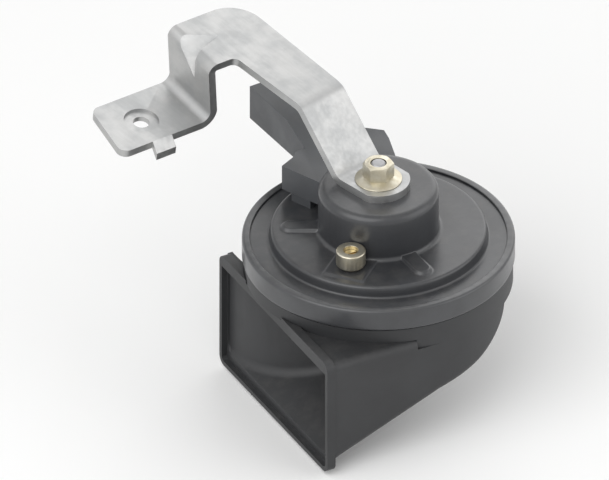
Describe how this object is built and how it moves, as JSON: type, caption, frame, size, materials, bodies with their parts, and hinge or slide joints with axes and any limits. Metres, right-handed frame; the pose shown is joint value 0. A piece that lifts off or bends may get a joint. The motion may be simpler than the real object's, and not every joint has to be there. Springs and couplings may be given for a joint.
{
  "type": "snail horn",
  "caption": "Electric car horn: black steel can with rolled ring, curled plastic trumpet with a square mouth, folded steel mounting strap and a plug socket.",
  "frame": {"origin": "centre of the bolt hole in the strap's tab, on the tab's underside", "axes": "+Z along the can's axis, away from the trumpet; -X the way the trumpet's mouth faces; right-handed"},
  "size_m": [0.1281, 0.1365, 0.1159],
  "materials": {
    "can_paint": "satin black stoved paint over drawn steel",
    "ring_paint": "satin black paint, worn along the rolled lips",
    "strap_zinc": "clear zinc plate with faint rolling marks",
    "fastener_zinc": "bright zinc plate",
    "trumpet_plastic": "black glass-filled nylon, finely pitted",
    "connector_plastic": "dark grey moulded polyester",
    "bobbin_plastic": "natural nylon",
    "winding_copper": "enamelled copper wire in close layers",
    "core_iron": "turned soft iron",
    "spring_steel": "blue-grey spring steel",
    "insulator_board": "brown laminated board",
    "gasket_fibre": "pressed fibre",
    "contact_metal": "tungsten contact",
    "terminal_brass": "tinned brass"
  },
  "bodies": {
    "case": {"horn_can": "can_paint", "rolled_ring": "ring_paint", "mounting_strap": "strap_zinc", "cone_washer": "fastener_zinc", "strap_nut": "fastener_zinc", "adjuster_collar": "fastener_zinc", "screw_tip": "insulator_board", "trumpet_upper": "trumpet_plastic", "trumpet_lower": "trumpet_plastic", "connector_housing": "connector_plastic", "left_terminal": "terminal_brass", "right_terminal": "terminal_brass", "terminal_insulator": "insulator_board", "middle_insulator": "insulator_board", "upper_insulator": "insulator_board", "inner_stack_rivet": "fastener_zinc", "outer_stack_rivet": "fastener_zinc", "magnet_core": "core_iron", "coil_bobbin": "bobbin_plastic", "coil_winding": "winding_copper", "diaphragm": "spring_steel", "diaphragm_gasket": "gasket_fibre", "fixed_contact_plate": "core_iron", "fixed_contact": "contact_metal"},
    "armature_group": {"armature": "core_iron", "armature_sleeve": "insulator_board", "upper_clamp_washer": "core_iron", "lower_clamp_washer": "core_iron"},
    "contact_leaf": {"contact_arm": "spring_steel", "moving_contact": "contact_metal"},
    "screw": {"adjusting_screw": "terminal_brass"}
  },
  "joints": [
    {"name": "armature_slide", "type": "slide", "parent": "case", "child": "armature_group", "axis": [0, 0, 1], "range_m": [0, 0.0005], "stiffness_N_per_m": 2000, "deforming": ["diaphragm"]},
    {"name": "contact_arm_hinge", "type": "hinge", "parent": "case", "child": "contact_leaf", "pos_m": [0.07593, -0.03858, -0.02792], "axis": [-0.9063, 0.4226, 0], "range_deg": [0, 0.7]},
    {"name": "adjuster_turn", "type": "hinge", "parent": "case", "child": "screw", "pos_m": [0.04187, -0.08464, -0.02277], "axis": [0, 0, 1], "range_deg": [-180, 180]}
  ],
  "couplings": [
    {"joint": "contact_arm_hinge", "follows": "armature_slide", "rad_per_m": 22}
  ]
}
